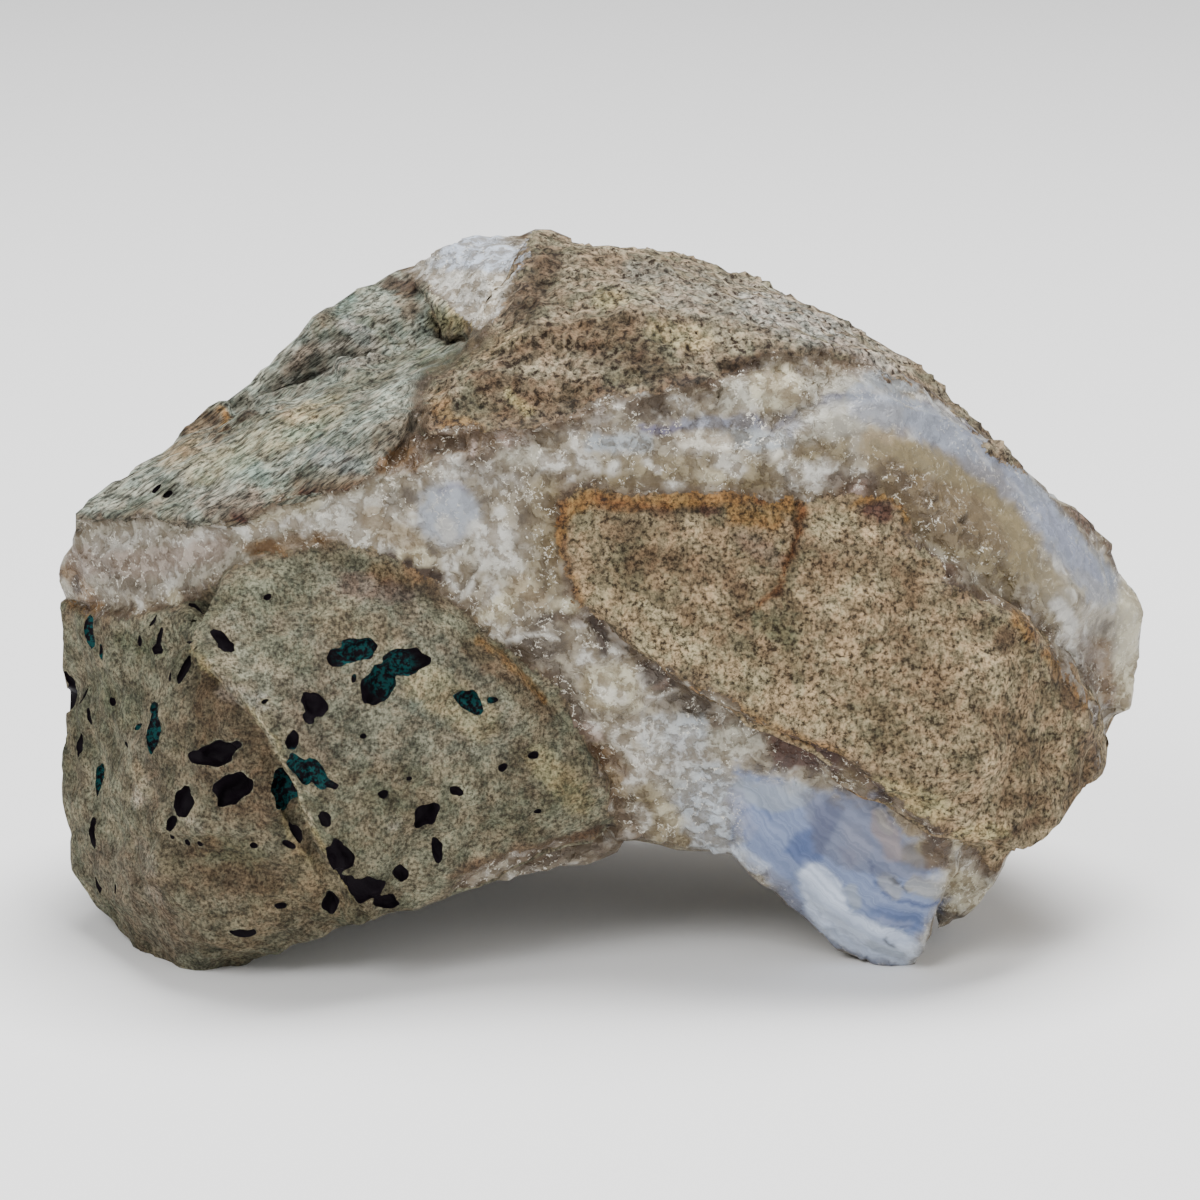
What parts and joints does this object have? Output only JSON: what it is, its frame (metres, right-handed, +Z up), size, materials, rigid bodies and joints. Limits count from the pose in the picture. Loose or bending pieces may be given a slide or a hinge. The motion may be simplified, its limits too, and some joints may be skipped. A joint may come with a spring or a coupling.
{
  "type": "blue lace agate geode",
  "caption": "Broken chunk of bubbly volcanic rock healed by seams of pale blue and grey agate, resting on small worn flats.",
  "frame": {"origin": "on the plane that the stone rests on, under the middle of its box", "axes": "+X along the stone's length, towards the end with the blue agate tongue; +Y from the side that shows the tongue towards the back; +Z up"},
  "size_m": [0.14, 0.0857, 0.0888],
  "materials": {
    "stone": "rough broken rock with waxy agate seams"
  },
  "bodies": {
    "root": {"geode": "stone"}
  },
  "joints": []
}
